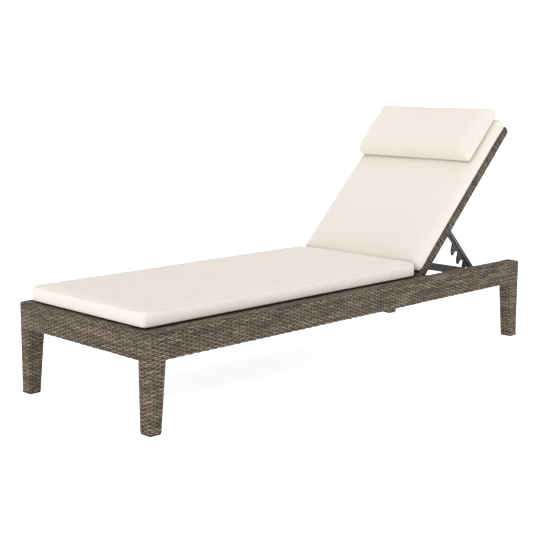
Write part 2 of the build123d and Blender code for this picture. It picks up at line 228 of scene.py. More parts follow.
def make_coating_group():
    """Sprayed powder coat: orange peel, faint scuffs, and dust settled on it."""
    inputs = [("Vector", DIRECTION, None), ("Coat", COLOUR, (0.03, 0.03, 0.03, 1)),
              ("Scuff", COLOUR, (0.12, 0.115, 0.11, 1)), ("Wear", NUMBER, 0.3)]
    outputs = [("Color", COLOUR), ("Roughness", NUMBER), ("Height", NUMBER)]
    tree, given, result = shader_group("powder coat", inputs, outputs)
    w = Wiring(tree)
    place = given.outputs["Vector"]
    peel = w.noise(place, 1100.0, 2.0, 0.5)
    scuffs = w.noise(w.stretched(place, (60.0, 240.0, 60.0)), 1.0, 4.0, 0.65)
    dust = w.noise(place, 16.0, 4.0, 0.6)
    mask = w.math("MULTIPLY", w.ramp(scuffs, 0.56, 0.78), given.outputs["Wear"], clamp=True)
    colour = w.mix(mask, given.outputs["Coat"], given.outputs["Scuff"])
    colour = w.mix(w.math("MULTIPLY", w.ramp(dust, 0.45, 0.8), 0.10), colour, (0.26, 0.24, 0.21, 1))
    w.feed(result.inputs["Color"], colour)
    w.feed(result.inputs["Roughness"], w.math("ADD", 0.36, w.math("MULTIPLY", scuffs, 0.26)))
    w.feed(result.inputs["Height"], peel)
    return tree


STRAND = make_strand_group()
CANVAS = make_canvas_group()
COATING = make_coating_group()


def finish(name, group, inputs, relief, distance, metallic=0.0, sheen=0.0, specular=0.5, tone=False):
    """A material made from one of the groups, with its relief as a bump in metres."""
    material = bpy.data.materials.new(name)
    material.use_nodes = True
    tree = material.node_tree
    w = Wiring(tree)
    shader = tree.nodes["Principled BSDF"]
    place = w.add("ShaderNodeTexCoord").outputs["Object"]
    made = w.add("ShaderNodeGroup")
    made.node_tree = group
    w.feed(made.inputs["Vector"], place)
    for key, value in inputs.items():
        w.feed(made.inputs[key], value)
    if tone:
        w.feed(made.inputs["Tone"], w.add("ShaderNodeAttribute", attribute_name="tone").outputs["Fac"])
        # proud drives the painted shade in the strands' low places
        w.feed(made.inputs["Depth"], w.add("ShaderNodeAttribute", attribute_name="proud").outputs["Fac"])
    w.feed(shader.inputs["Base Color"], made.outputs["Color"])
    w.feed(shader.inputs["Roughness"], made.outputs["Roughness"])
    bump = w.add("ShaderNodeBump", {"Height": made.outputs["Height"], "Strength": relief,
                                    "Distance": distance})
    w.feed(shader.inputs["Normal"], bump.outputs["Normal"])
    shader.inputs["Metallic"].default_value = metallic
    shader.inputs["Specular IOR Level"].default_value = specular
    if sheen:
        shader.inputs["Sheen Weight"].default_value = sheen
        shader.inputs["Sheen Roughness"].default_value = 0.5
    return material


WICKER = finish("grey-brown wicker", STRAND,
                {"Light": (0.405, 0.318, 0.240, 1), "Dark": (0.072, 0.052, 0.037, 1)}, 0.35, 0.0004,
                specular=0.18, tone=True)
# The backing seen through the weave is coloured near-black as painted shade, and its fixed Depth of 0.45
# darkens all of it further through the strands' painted shade in the low places.
WICKER_SKIN = finish("wicker backing", STRAND,
                     {"Light": (0.10, 0.08, 0.065, 1), "Dark": (0.045, 0.035, 0.028, 1),
                      "Tone": 0.5, "Depth": 0.45}, 0.4, 0.0006)
CREAM = finish("cream canvas", CANVAS,
               {"Cloth": (0.755, 0.703, 0.645, 1), "Tone and shade": (0.58, 0.51, 0.44, 1)}, 0.35, 0.0004,
               sheen=0.25, specular=0.2)
# The welt cord is the cushions' own canvas, coloured darker than the cream canvas as painted shade in the
# seam crease.
WELT = finish("cream welt", CANVAS,
              {"Cloth": (0.68, 0.62, 0.55, 1), "Tone and shade": (0.45, 0.38, 0.31, 1)}, 0.4, 0.0004,
              sheen=0.2, specular=0.2)
BLACK_COAT = finish("black powder coat", COATING, {"Wear": 0.35}, 0.25, 0.0002)
STAY_COAT = finish("dark grey powder coat", COATING,
                   {"Coat": (0.095, 0.09, 0.085, 1), "Scuff": (0.24, 0.23, 0.22, 1), "Wear": 0.5}, 0.3,
                   0.0002)
TUBE_COAT = finish("brown powder coat", COATING,
                   {"Coat": (0.075, 0.062, 0.052, 1), "Scuff": (0.2, 0.18, 0.16, 1), "Wear": 0.35},
                   0.3, 0.0002)
EDGING = finish("dark edging", COATING,
                {"Coat": (0.022, 0.016, 0.012, 1), "Scuff": (0.06, 0.05, 0.04, 1), "Wear": 0.3},
                0.4, 0.0003)
RUBBER = finish("black rubber", COATING,
                {"Coat": (0.012, 0.012, 0.012, 1), "Scuff": (0.05, 0.05, 0.05, 1), "Wear": 0.3},
                0.5, 0.0003, specular=0.3)
NYLON = finish("natural nylon", COATING,
               {"Coat": (0.62, 0.60, 0.54, 1), "Scuff": (0.4, 0.38, 0.33, 1), "Wear": 0.3},
               0.2, 0.0002)
PLATED = finish("plated steel", COATING,
                {"Coat": (0.46, 0.46, 0.47, 1), "Scuff": (0.25, 0.24, 0.22, 1), "Wear": 0.6},
                0.2, 0.0002, metallic=1.0)
HOOK_TAPE = finish("hook and loop tape", CANVAS, {"Threads": 2200.0}, 0.8, 0.0006)

FINISH_OF_SLOT = {
    "wicker": WICKER_SKIN, "cushion_fabric": CREAM, "grip_fabric": HOOK_TAPE, "glide_plastic": RUBBER,
    "pad_rubber": RUBBER, "edge_strip": EDGING, "bush_plastic": NYLON, "steel": PLATED,
    "dark_metal": BLACK_COAT, "stay_metal": STAY_COAT, "frame_tube": TUBE_COAT,
}
for part in frame["record"]["subparts"]:
    mesh = nodes[part["node"]].data
    mesh.materials.clear()
    mesh.materials.append(FINISH_OF_SLOT[part["material_slot"]])


# ---------------------------------------------------------------- the woven mat
def make_mat_tree():
    """A flat plain weave: rows of strands humped over every second stake, over upright stakes."""
    tree = bpy.data.node_groups.new("woven mat", "GeometryNodeTree")
    settings = [("Rows", "NodeSocketInt"), ("Humps", "NodeSocketInt"), ("Row Pitch", NUMBER),
                ("Stake Pitch", NUMBER), ("Strand Width", NUMBER), ("Rise", NUMBER),
                ("Seed", "NodeSocketInt"), ("Material", "NodeSocketMaterial")]
    for label, kind in settings:
        tree.interface.new_socket(name=label, in_out="INPUT", socket_type=kind)
    tree.interface.new_socket(name="Geometry", in_out="OUTPUT", socket_type="NodeSocketGeometry")
    w = Wiring(tree)
    given = w.add("NodeGroupInput").outputs
    result = w.add("NodeGroupOutput")
    place = w.add("GeometryNodeInputPosition").outputs[0]
    axes = w.add("ShaderNodeSeparateXYZ", {"Vector": place}).outputs

    def lifted(geometry, height):
        offset = w.add("ShaderNodeCombineXYZ", {"Z": height}).outputs[0]
        return w.add("GeometryNodeSetPosition", {"Geometry": geometry, "Offset": offset}).outputs[0]

    def patch(length, width, along, across):
        return w.add("GeometryNodeMeshGrid", {"Size X": length, "Size Y": width, "Vertices X": along,
                                              "Vertices Y": across}).outputs[0]

    # one hump of a strand: up over a stake and tucked under at both ends, with rolled sides
    length = w.math("MULTIPLY", given["Stake Pitch"], 1.9)
    reach = w.math("ABSOLUTE", w.math("DIVIDE", axes[0], w.math("MULTIPLY", length, 0.5)))
    arch = w.math("MULTIPLY", w.math("SUBTRACT", 1.0, w.math("MULTIPLY", w.math("POWER", reach, 6.0), 1.35)),
                  given["Rise"])
    side = w.math("DIVIDE", axes[1], given["Strand Width"])
    roll = w.math("MULTIPLY", w.math("POWER", w.math("ABSOLUTE", side), 3.0),
                  w.math("MULTIPLY", given["Rise"], -11.0))
    hump = lifted(patch(length, given["Strand Width"], 7, 4), w.math("ADD", arch, roll))

    # a point for every hump, with every second row moved on by one stake
    wide = w.math("MULTIPLY", w.math("SUBTRACT", given["Humps"], 1.0),
                  w.math("MULTIPLY", given["Stake Pitch"], 2.0))
    tall = w.math("MULTIPLY", w.math("SUBTRACT", given["Rows"], 1.0), given["Row Pitch"])
    grid = patch(wide, tall, given["Humps"], given["Rows"])
    row = w.math("ROUND", w.math("DIVIDE", w.math("ADD", axes[1], w.math("MULTIPLY", tall, 0.5)),
                                 given["Row Pitch"]))
    odd = w.math("MODULO", row, 2.0)
    shift = w.add("ShaderNodeCombineXYZ", {
        "X": w.math("ADD", w.math("ADD", w.math("MULTIPLY", wide, 0.5),
                                  w.math("MULTIPLY", given["Stake Pitch"], 0.5)),
                    w.math("MULTIPLY", odd, given["Stake Pitch"])),
        "Y": w.math("ADD", w.math("MULTIPLY", tall, 0.5), w.math("MULTIPLY", given["Row Pitch"], 0.5)),
    }).outputs[0]
    grid = w.add("GeometryNodeSetPosition", {"Geometry": grid, "Offset": shift}).outputs[0]

    def chance(low, high, salt):
        node = w.add("FunctionNodeRandomValue", data_type="FLOAT")
        w.feed(node.inputs[2], low)
        w.feed(node.inputs[3], high)
        w.feed(node.inputs["Seed"], w.math("ADD", given["Seed"], salt))
        return node.outputs[1]

    def chance3(low, high, salt):
        node = w.add("FunctionNodeRandomValue", data_type="FLOAT_VECTOR")
        w.feed(node.inputs[0], low)
        w.feed(node.inputs[1], high)
        w.feed(node.inputs["Seed"], w.math("ADD", given["Seed"], salt))
        return node.outputs[0]

    def toned(geometry, value):
        node = w.add("GeometryNodeStoreNamedAttribute", {"Geometry": geometry, "Name": "tone"},
                     data_type="FLOAT", domain="INSTANCE")
        w.feed(node.inputs["Value"], value)
        return node.outputs[0]

    humps = w.add("GeometryNodeInstanceOnPoints", {
        "Points": grid, "Instance": hump,
        "Rotation": chance3((-0.12, -0.025, -0.05), (0.12, 0.025, 0.05), 1.0),
        "Scale": chance3((0.78, 0.86, 0.55), (1.06, 1.06, 1.12), 2.0)}).outputs[0]
    humps = toned(humps, chance(0.15, 1.0, 3.0))

    # the stakes behind the strands
    stake_tall = w.math("MULTIPLY", given["Rows"], given["Row Pitch"])
    stake_wide = w.math("MULTIPLY", given["Stake Pitch"], 0.36)
    off_middle = w.math("ABSOLUTE", w.math("DIVIDE", axes[0], stake_wide))
    bulge = w.math("MULTIPLY", w.math("POWER", off_middle, 2.0),
                   w.math("MULTIPLY", given["Rise"], -4.0))
    stake_rows = w.math("ADD", w.math("MULTIPLY", given["Rows"], 1.0), 1.0)
    stake = lifted(patch(stake_wide, stake_tall, 4, stake_rows), bulge)
    stake = w.add("GeometryNodeSetPosition", {"Geometry": stake, "Offset": w.add(
        "ShaderNodeCombineXYZ", {"Y": w.math("MULTIPLY", stake_tall, 0.5)}).outputs[0]}).outputs[0]
    line = w.add("GeometryNodeMeshLine", {
        "Count": w.math("MULTIPLY", given["Humps"], 2.0),
        "Start Location": w.add("ShaderNodeCombineXYZ", {
            "X": w.math("MULTIPLY", given["Stake Pitch"], 0.5)}).outputs[0],
        "Offset": w.add("ShaderNodeCombineXYZ", {"X": given["Stake Pitch"]}).outputs[0]}).outputs[0]
    stakes = w.add("GeometryNodeInstanceOnPoints", {"Points": line, "Instance": stake}).outputs[0]
    stakes = toned(stakes, chance(0.0, 0.45, 4.0))

    joined = w.add("GeometryNodeJoinGeometry")
    w.feed(joined.inputs[0], humps)
    w.feed(joined.inputs[0], stakes)
    realised = w.add("GeometryNodeRealizeInstances", {"Geometry": joined.outputs[0]}).outputs[0]
    smooth = w.add("GeometryNodeSetShadeSmooth", {"Geometry": realised}).outputs[0]
    coloured = w.add("GeometryNodeSetMaterial", {"Geometry": smooth, "Material": given["Material"]})
    w.feed(result.inputs[0], coloured.outputs[0])
    return tree


MAT_TREE = make_mat_tree()


def woven_mat(along, across, seed, row=ROW, stake=STAKE):
    """A flat mat that fills along by across. Returns its plain mesh and its points, stretched to fit."""
    humps = max(2, round(along / (2 * stake)))
    rows = max(2, round(across / row))
    carrier = bpy.data.objects.new("mat", bpy.data.meshes.new("mat"))
    rest.objects.link(carrier)
    modifier = carrier.modifiers.new("weave", "NODES")
    modifier.node_group = MAT_TREE
    stake_fit = along / (2 * humps)
    row_fit = across / rows
    values = {"Rows": rows, "Humps": humps, "Row Pitch": row_fit, "Stake Pitch": stake_fit,
              "Strand Width": row_fit * STRAND_SHARE, "Rise": RISE, "Seed": seed, "Material": WICKER}
    for item in MAT_TREE.interface.items_tree:
        if item.name in values:
            modifier[item.identifier] = values[item.name]
    depsgraph = bpy.context.evaluated_depsgraph_get()
    mesh = bpy.data.meshes.new_from_object(carrier.evaluated_get(depsgraph))
    bpy.data.objects.remove(carrier)
    flat = np.empty(len(mesh.vertices) * 3)
    mesh.vertices.foreach_get("co", flat)
    flat = flat.reshape(-1, 3)
    # proud runs from 0 in the low places to 1 on the hump tops; the strand shader paints shade where it is
    # low
    proud = np.clip((flat[:, 2] + 0.5 * RISE) / (1.4 * RISE), 0, 1)
    layer = mesh.attributes.new("proud", "FLOAT", "POINT")
    layer.data.foreach_set("value", proud.astype(np.float32))

    # each strand keeps one shade for a stretch, so the rows read as streaks, and wanders a little
    pick = np.random.default_rng(abs(seed) + 7)
    stretch = pick.uniform(*SHADE_STRETCH, rows) * MM
    begin = pick.uniform(0, 100, rows) * MM
    row = np.clip((flat[:, 1] / row_fit).astype(int), 0, rows - 1)
    turn = ((flat[:, 0] + begin[row]) / stretch[row]).astype(int)
    shades = pick.uniform(0, 1, (rows, int(along / (SHADE_STRETCH[0] * MM)) + 4))
    tone = np.empty(len(flat))
    mesh.attributes["tone"].data.foreach_get("value", tone)
    tone = (0.4 * tone + 0.6 * shades[row, turn]) ** 1.5
    mesh.attributes["tone"].data.foreach_set("value", tone.astype(np.float32))
    phase = pick.uniform(0, 6.3, 3)
    flat[:, 1] += WANDER * (np.sin(flat[:, 0] / (31 * MM) + phase[0] + flat[:, 1] / (40 * MM))
                            + np.sin(flat[:, 0] / (83 * MM) + phase[1] + flat[:, 1] / (17 * MM)))
    flat[:, 1] = np.clip(flat[:, 1], 0, across)
    return mesh, flat


def rounded_loop(distance, half_a, half_b, radii):
    """Places and outward normals round a rectangle with rounded corners, counted anticlockwise from
    the middle of its +a side. radii are the four corners' in that order."""
    a, b, r = half_a, half_b, radii
    legs = []
    spots = [(a, 0), (a, b), (-a, b), (-a, -b), (a, -b), (a, 0)]
    start = np.array(spots[0], float)
    for index in range(1, 5):
        corner = np.array(spots[index], float)
        into = np.sign(corner - np.array(spots[index - 1], float))
        out = np.sign(np.array(spots[index + 1], float) - corner)
        near = corner - into * r[index - 1]
        far = corner + out * r[index - 1]
        legs.append(("run", start, near))
        legs.append(("arc", near + out * r[index - 1], r[index - 1], into, out))
        start = far
    legs.append(("run", start, np.array(spots[5], float)))
    lengths = [np.linalg.norm(leg[2] - leg[1]) if leg[0] == "run" else leg[2] * pi / 2 for leg in legs]
    total = sum(lengths)
    distance = np.mod(distance, total)
    place = np.zeros((len(distance), 2))
    normal = np.zeros((len(distance), 2))
    covered = 0.0
    for leg, length in zip(legs, lengths):
        mask = (distance >= covered) & (distance <= covered + length)
        s = (distance[mask] - covered)[:, None]
        if leg[0] == "run" and length > 0:
            direction = (leg[2] - leg[1]) / length
            place[mask] = leg[1] + s * direction
            normal[mask] = (direction[1], -direction[0])
        elif length > 0:
            turn = s / leg[2]
            across = np.array((leg[3][1], -leg[3][0]))
            normal[mask] = np.cos(turn) * across + np.sin(turn) * leg[3]
            place[mask] = leg[1] + normal[mask] * leg[2]
        covered += length
    return place, normal, total


def loop_length(half_a, half_b, radii):
    return rounded_loop(np.zeros(1), half_a, half_b, radii)[2]


def soften_corner(x, y, corner_x, corner_y, radius):
    """Bends a square plan corner to a rounded one, layer by layer."""
    sign_x, sign_y = np.sign(corner_x), np.sign(corner_y)
    dx = (x - (corner_x - sign_x * radius)) * sign_x
    dy = (y - (corner_y - sign_y * radius)) * sign_y
    mask = (dx > 0) & (dy > 0)
    size = np.maximum(dx, dy)
    far = np.hypot(dx, dy) + 1e-9
    x = np.where(mask, corner_x - sign_x * radius + sign_x * dx / far * size, x)
    y = np.where(mask, corner_y - sign_y * radius + sign_y * dy / far * size, y)
    return x, y


def place_mesh(mesh, points):
    mesh.vertices.foreach_set("co", np.ascontiguousarray(points, np.float32).ravel())
    mesh.update()


def woven_piece(name, meshes, body, *covered):
    """Joins mats into one named piece that stands for the CAD sleeves it covers."""
    joined = bmesh.new()
    for mesh in meshes:
        joined.from_mesh(mesh)
    thin = [face for face in joined.faces if face.calc_area() < THINNEST_FACE]
    bmesh.ops.delete(joined, geom=thin, context="FACES")
    loose = [vertex for vertex in joined.verts if not vertex.link_faces]
    bmesh.ops.delete(joined, geom=loose, context="VERTS")
    mesh = bpy.data.meshes.new(name)
    joined.to_mesh(mesh)
    joined.free()
    mesh.materials.append(WICKER)
    piece = bpy.data.objects.new(name, mesh)
    rest.objects.link(piece)
    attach(piece, body)
    if covered:
        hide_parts(*covered)
    return piece


PROUD = -0.3 * MM
PANEL_STAND_OFF = 0.2 * MM
STRAND_CAP = 1.1 * MM
LEG_TOP_LAP = 5 * MM
RAIL_RADII = (9 * MM, 9 * MM, 5 * MM, 5 * MM)
rail_mid_z = (RAIL_Z[0] + RAIL_Z[1]) / 2
rail_half_z = (RAIL_Z[1] - RAIL_Z[0]) / 2


def bed_outline(distance):
    """Places, outward normals and arc marks along the bed's outer line, from the middle of the foot end
    round the right corner, along the side and round on to the head end."""
    half = OUTER_Y
    first = half - CORNER
    arc = CORNER * pi / 2
    second = first + arc + (RAIL_X[1] - RAIL_X[0]) - 2 * CORNER
    d = np.asarray(distance)
    place = np.zeros((len(d), 2))
    normal = np.zeros((len(d), 2))
    turn = np.clip((d - first) / CORNER, 0, pi / 2)
    on_foot, on_side = d < first, (d >= first + arc) & (d < second)
    on_head = d >= second + arc
    head_turn = np.clip((d - second) / CORNER, 0, pi / 2)
    near_foot = d < first + arc + CORNER
    normal[:, 0] = np.where(near_foot, -np.cos(turn), np.sin(head_turn))
    normal[:, 1] = np.where(near_foot, np.sin(turn), np.cos(head_turn))
    centre_x = np.where(near_foot, RAIL_X[0] + CORNER, RAIL_X[1] - CORNER)
    place[:, 0] = centre_x + normal[:, 0] * CORNER
    place[:, 1] = half - CORNER + normal[:, 1] * CORNER
    place[on_foot, 1] = d[on_foot]
    place[on_side, 0] = RAIL_X[0] + CORNER + d[on_side] - first - arc
    place[on_head, 1] = half - CORNER - (d[on_head] - second - arc)
    bend = ~(on_foot | on_side | on_head)
    return place, normal, bend


def rail_band(start, end, side, seed):
    """A woven sleeve for the stretch of the bed's outline between two distances, mitred at corners."""
    half = RAIL_WIDTH / 2
    around = loop_length(half, rail_half_z, RAIL_RADII)
    mesh, flat = woven_mat(end - start, around, seed)
    across, section_normal, _ = rounded_loop(flat[:, 1], half, rail_half_z, RAIL_RADII)
    lift = flat[:, 2] - PROUD
    inset = half - across[:, 0] - section_normal[:, 0] * lift
    z = rail_mid_z + across[:, 1] + section_normal[:, 1] * lift
    along = start + flat[:, 0] if side > 0 else end - flat[:, 0]
    mirrored = np.where(along < 0, -1.0, 1.0)
    place, normal, bend = bed_outline(np.abs(along))
    x = place[:, 0] - normal[:, 0] * inset
    y = place[:, 1] - normal[:, 1] * inset
    end_x = np.where(place[:, 0] < 0, -1.0, 1.0)
    from_end = RAIL_X[1] - end_x * x
    from_side = OUTER_Y - y
    deep = bend & (inset > CORNER)
    from_end = np.where(deep, inset, np.where(~bend & (np.abs(normal[:, 1]) > 0.9),
                                              np.maximum(from_end, inset), from_end))
    from_side = np.where(deep, inset, np.where(~bend & (np.abs(normal[:, 0]) > 0.9),
                                               np.maximum(from_side, inset), from_side))
    from_side = np.where(end_x > 0, np.minimum(from_side, RAIL_WIDTH - PROUD), from_side)
    x = end_x * (RAIL_X[1] - from_end)
    y = (OUTER_Y - from_side) * mirrored * side
    place_mesh(mesh, np.stack((x, y, z), 1))
    mesh.flip_normals()
    return mesh


def rail_end(side, seed):
    """The woven inner face at the free head end of a side rail."""
    half = RAIL_WIDTH / 2
    tall = 2 * rail_half_z + 8 * MM
    mesh, flat = woven_mat(RAIL_WIDTH - 2 * MM, tall, seed)
    middle = loop_length(half, rail_half_z, RAIL_RADII) / 2
    across, normal, _ = rounded_loop(flat[:, 1] + middle - tall / 2, half, rail_half_z, RAIL_RADII)
    lift = flat[:, 2] - PROUD
    x = RAIL_X[1] - RAIL_WIDTH + np.clip(flat[:, 0], 0, RAIL_WIDTH)
    y = side * (OUTER_Y - half + across[:, 0] + normal[:, 0] * lift)
    place_mesh(mesh, np.stack((x, y, rail_mid_z + across[:, 1] + normal[:, 1] * lift), 1))
    if side > 0:
        mesh.flip_normals()
    return mesh


def leg(end, side, seed):
    """A leg's tapered sleeve, with strands laid round it and its outer faces kept upright."""
    tag = f"leg_weave_{'foot' if end < 0 else 'head'}_{'left' if side < 0 else 'right'}"
    low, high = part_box(tag)
    long, wide = high[0] - low[0], high[1] - low[1]
    top = RAIL_Z[0] + LEG_TOP_LAP
    corners = ((1, 1), (-1, 1), (-1, -1), (1, -1))
    radii = tuple(CORNER if corner == (end, side) else LEG_INNER_ROUND for corner in corners)
    around = loop_length(long / 2, wide / 2, radii)
    mesh, flat = woven_mat(around, top - GLIDE_TOP, seed)
    across, normal, _ = rounded_loop(flat[:, 0], long / 2, wide / 2, radii)
    lift = flat[:, 2] - PROUD
    z = GLIDE_TOP + flat[:, 1]
    share = np.clip((RAIL_Z[0] - z) / (RAIL_Z[0] - GLIDE_TOP), 0, 1)
    outer_x = end * RAIL_X[1]
    outer_y = side * OUTER_Y
    x = outer_x - end * long / 2 + across[:, 0]
    y = outer_y - side * wide / 2 + across[:, 1]
    x = outer_x + (x - outer_x) * (1 + (LEG_FOOT_LENGTH / long - 1) * share) + normal[:, 0] * lift
    y = outer_y + (y - outer_y) * (1 + (LEG_FOOT_WIDTH / wide - 1) * share) + normal[:, 1] * lift
    z = np.clip(z, GLIDE_TOP + 0.5 * MM, top)
    place_mesh(mesh, np.stack((x, y, z), 1))
    return woven_piece("wicker_" + tag, [mesh], "bed_frame", tag)


JOIN_PAST_CORNER = 8 * STAKE
JOIN = OUTER_Y + JOIN_PAST_CORNER
OUTLINE_END = (OUTER_Y + RAIL_X[1] - RAIL_X[0] + RAIL_WIDTH) - 2 * (2 - pi / 2) * CORNER
for label, side in (("left", -1), ("right", 1)):
    woven_piece(f"wicker_side_rail_{label}",
                [rail_band(JOIN, OUTLINE_END, side, 10 + side), rail_end(side, 14 + side)],
                "bed_frame", f"side_rail_weave_{label}")
    for end in (-1, 1):
        leg(end, side, 20 + end + 3 * side)
woven_piece("wicker_foot_rail", [rail_band(-JOIN, JOIN, 1, 30)], "bed_frame", "foot_rail_weave")

# The back: strands wrapped round each side tube, and along the top one
BACK_RADII = (7 * MM,) * 4
BACK_END_ROUND = 9 * MM
CAP_SIDE_INSET = 2 * MM
CAP_FACE_INSET = 6 * MM
back_start = -BACK_TUBE / 2
for label, side in (("left", -1), ("right", 1)):
    around = loop_length(BACK_TUBE / 2, BACK_TUBE / 2, BACK_RADII)
    mesh, flat = woven_mat(around, BACK_LENGTH - back_start, 40 + side)
    across, normal, _ = rounded_loop(flat[:, 0], BACK_TUBE / 2, BACK_TUBE / 2, BACK_RADII)
    lift = np.minimum(flat[:, 2] - PROUD, STRAND_CAP)
    u = back_start + flat[:, 1]
    y = side * BACK_TUBE_MIDDLE + across[:, 0] + normal[:, 0] * lift
    out = across[:, 1] + normal[:, 1] * lift
    middle = (back_start + BACK_LENGTH) / 2
    half = (BACK_LENGTH - back_start) / 2
    for end in (-1, 1):
        for face in (-1, 1):
            turned, out = soften_corner(u - middle, out, end * half, face * BACK_TUBE / 2,
                                       BACK_END_ROUND)
            u = turned + middle
    place_mesh(mesh, on_back(np.stack((u, y, out), 1)))
    caps = []
    for end, at in ((1, BACK_LENGTH), (-1, back_start)):
        cap, flat = woven_mat(BACK_TUBE - 2 * CAP_SIDE_INSET, BACK_TUBE - 2 * CAP_FACE_INSET, 44 + side)
        u = at + end * (flat[:, 2] - PROUD)
        y = side * BACK_TUBE_MIDDLE + flat[:, 0] - BACK_TUBE / 2 + CAP_SIDE_INSET
        out = flat[:, 1] - BACK_TUBE / 2 + CAP_FACE_INSET
        place_mesh(cap, on_back(np.stack((u, y, out), 1)))
        if end < 0:
            cap.flip_normals()
        caps.append(cap)
    woven_piece(f"wicker_back_side_{label}", [mesh] + caps, "back", f"back_side_weave_{label}")

top_half = BACK_HALF_WIDTH - BACK_TUBE
around = loop_length(BACK_TUBE / 2, BACK_TUBE / 2, BACK_RADII)
mesh, flat = woven_mat(2 * top_half, around, 48)
across, normal, _ = rounded_loop(flat[:, 1], BACK_TUBE / 2, BACK_TUBE / 2, BACK_RADII)
lift = flat[:, 2] - PROUD
place_mesh(mesh, on_back(np.stack((BACK_LENGTH - BACK_TUBE / 2 + across[:, 0] + normal[:, 0] * lift,
                                   flat[:, 0] - top_half, across[:, 1] + normal[:, 1] * lift), 1)))
woven_piece("wicker_back_top", [mesh], "back", "back_top_weave")

# Flat panels: the back's rear face and the underside of the seat deck, over their backing
panel_back = 14 * MM
panel_low, panel_high = 13 * MM, BACK_LENGTH - BACK_TUBE
mesh, flat = woven_mat(2 * top_half, panel_high - panel_low, 52)
place_mesh(mesh, on_back(np.stack((panel_low + flat[:, 1], flat[:, 0] - top_half,
                                   panel_back - flat[:, 2] - PANEL_STAND_OFF), 1)))
woven_piece("wicker_back_panel", [mesh], "back")

deck_x, deck_z = span("seat_deck_weave", 0), span("seat_deck_weave", 2)
mesh, flat = woven_mat(2 * INNER_Y, deck_x[1] - deck_x[0], 56, row=10 * MM, stake=16 * MM)
deck_under = deck_z[0] - flat[:, 2] - PANEL_STAND_OFF
place_mesh(mesh, np.stack((deck_x[0] + flat[:, 1], flat[:, 0] - INNER_Y, deck_under), 1))
woven_piece("wicker_seat_deck", [mesh], "bed_frame")


# ---------------------------------------------------------------- cushions
def padded_block(name, size, plan_corner, top_edge, bottom_edge, voxel):
    """A closed rounded block, centred on the origin, remeshed for the cloth run."""
    made = bmesh.new()
    bmesh.ops.create_cube(made, size=1.0)
    bmesh.ops.scale(made, vec=size, verts=made.verts)
    upright = [e for e in made.edges if abs((e.verts[0].co - e.verts[1].co).z) > size[2] / 2]
    bmesh.ops.bevel(made, geom=upright, offset=plan_corner, segments=5, profile=0.5, affect="EDGES")
    for sign, edge in ((1, top_edge), (-1, bottom_edge)):
        ring = [e for e in made.edges
                if all(abs(v.co.z - sign * size[2] / 2) < 1e-6 for v in e.verts)]
        bmesh.ops.bevel(made, geom=ring, offset=edge, segments=4, profile=0.5, affect="EDGES")
    mesh = bpy.data.meshes.new(name)
    made.to_mesh(mesh)
    made.free()
    piece = bpy.data.objects.new(name, mesh)
    rest.objects.link(piece)
    remesh = piece.modifiers.new("remesh", "REMESH")
    remesh.mode = "VOXEL"
    remesh.voxel_size = voxel
    applied(piece)
    return piece


def applied(piece):
    """Bakes the piece's modifiers into its mesh."""
    depsgraph = bpy.context.evaluated_depsgraph_get()
    mesh = bpy.data.meshes.new_from_object(piece.evaluated_get(depsgraph))
    piece.modifiers.clear()
    old = piece.data
    piece.data = mesh
    bpy.data.meshes.remove(old)


def coordinates(mesh):
    flat = np.empty(len(mesh.vertices) * 3)
    mesh.vertices.foreach_get("co", flat)
    return flat.reshape(-1, 3)


def filled(piece, held, cap, pressure, spare):
    """Blows the cover up from inside with its seams held, and limits how far any point goes."""
    before = coordinates(piece.data)
    group = piece.vertex_groups.new(name="seams")
    group.add([int(i) for i in np.nonzero(held(before))[0]], 1.0, "REPLACE")
    cloth = piece.modifiers.new("filling", "CLOTH")
    cloth.settings.vertex_group_mass = "seams"
    cloth.settings.use_pressure = True
    cloth.settings.uniform_pressure_force = pressure
    cloth.settings.quality = 4
    cloth.settings.mass = 0.25
    cloth.settings.tension_stiffness = 12
    cloth.settings.compression_stiffness = 12
    cloth.settings.shear_stiffness = 6
    cloth.settings.bending_stiffness = 0.4
    cloth.settings.shrink_min = -spare
    cloth.settings.effector_weights.gravity = 0
    cloth.collision_settings.use_collision = False
    cloth.point_cache.frame_start = 1
    cloth.point_cache.frame_end = 20
    scene = bpy.context.scene
    for step in range(1, 21):
        scene.frame_set(step)
    depsgraph = bpy.context.evaluated_depsgraph_get()
    blown = bpy.data.meshes.new_from_object(piece.evaluated_get(depsgraph))
    after = coordinates(blown)
    bpy.data.meshes.remove(blown)
    piece.modifiers.clear()
    scene.frame_set(1)
    piece.vertex_groups.clear()
    move = after - before
    far = np.linalg.norm(move, axis=1, keepdims=True) + 1e-9
    return before + move / far * cap * np.tanh(far / cap)


def eased(piece, points, times, held=None):
    """Evens the cover out by moving each point part way to the middle of its neighbours."""
    ends = np.empty(len(piece.data.edges) * 2, int)
    piece.data.edges.foreach_get("vertices", ends)
    first, second = ends.reshape(-1, 2).T
    count = np.bincount(ends, minlength=len(points))[:, None]
    for _ in range(times):
        near = np.zeros_like(points)
        np.add.at(near, first, points[second])
        np.add.at(near, second, points[first])
        moved = points + 0.6 * (near / count - points)
        points = moved if held is None else np.where(held[:, None], points, moved)
    return points


def settle(piece, points, levels=1):
    """Writes the points back, then subdivides and shades the cover smooth."""
    place_mesh(piece.data, points)
    smooth = piece.modifiers.new("fine", "SUBSURF")
    smooth.levels = smooth.render_levels = levels
    applied(piece)
    piece.data.materials.clear()
    piece.data.materials.append(CREAM)
    piece.data.polygons.foreach_set("use_smooth", [True] * len(piece.data.polygons))


def outline(half_x, half_y, corner, count):
    """Points round a rounded rectangle, evenly spaced."""
    total = loop_length(half_x, half_y, (corner,) * 4)
    place, normal, _ = rounded_loop(np.arange(count) * total / count, half_x, half_y, (corner,) * 4)
    return place, normal


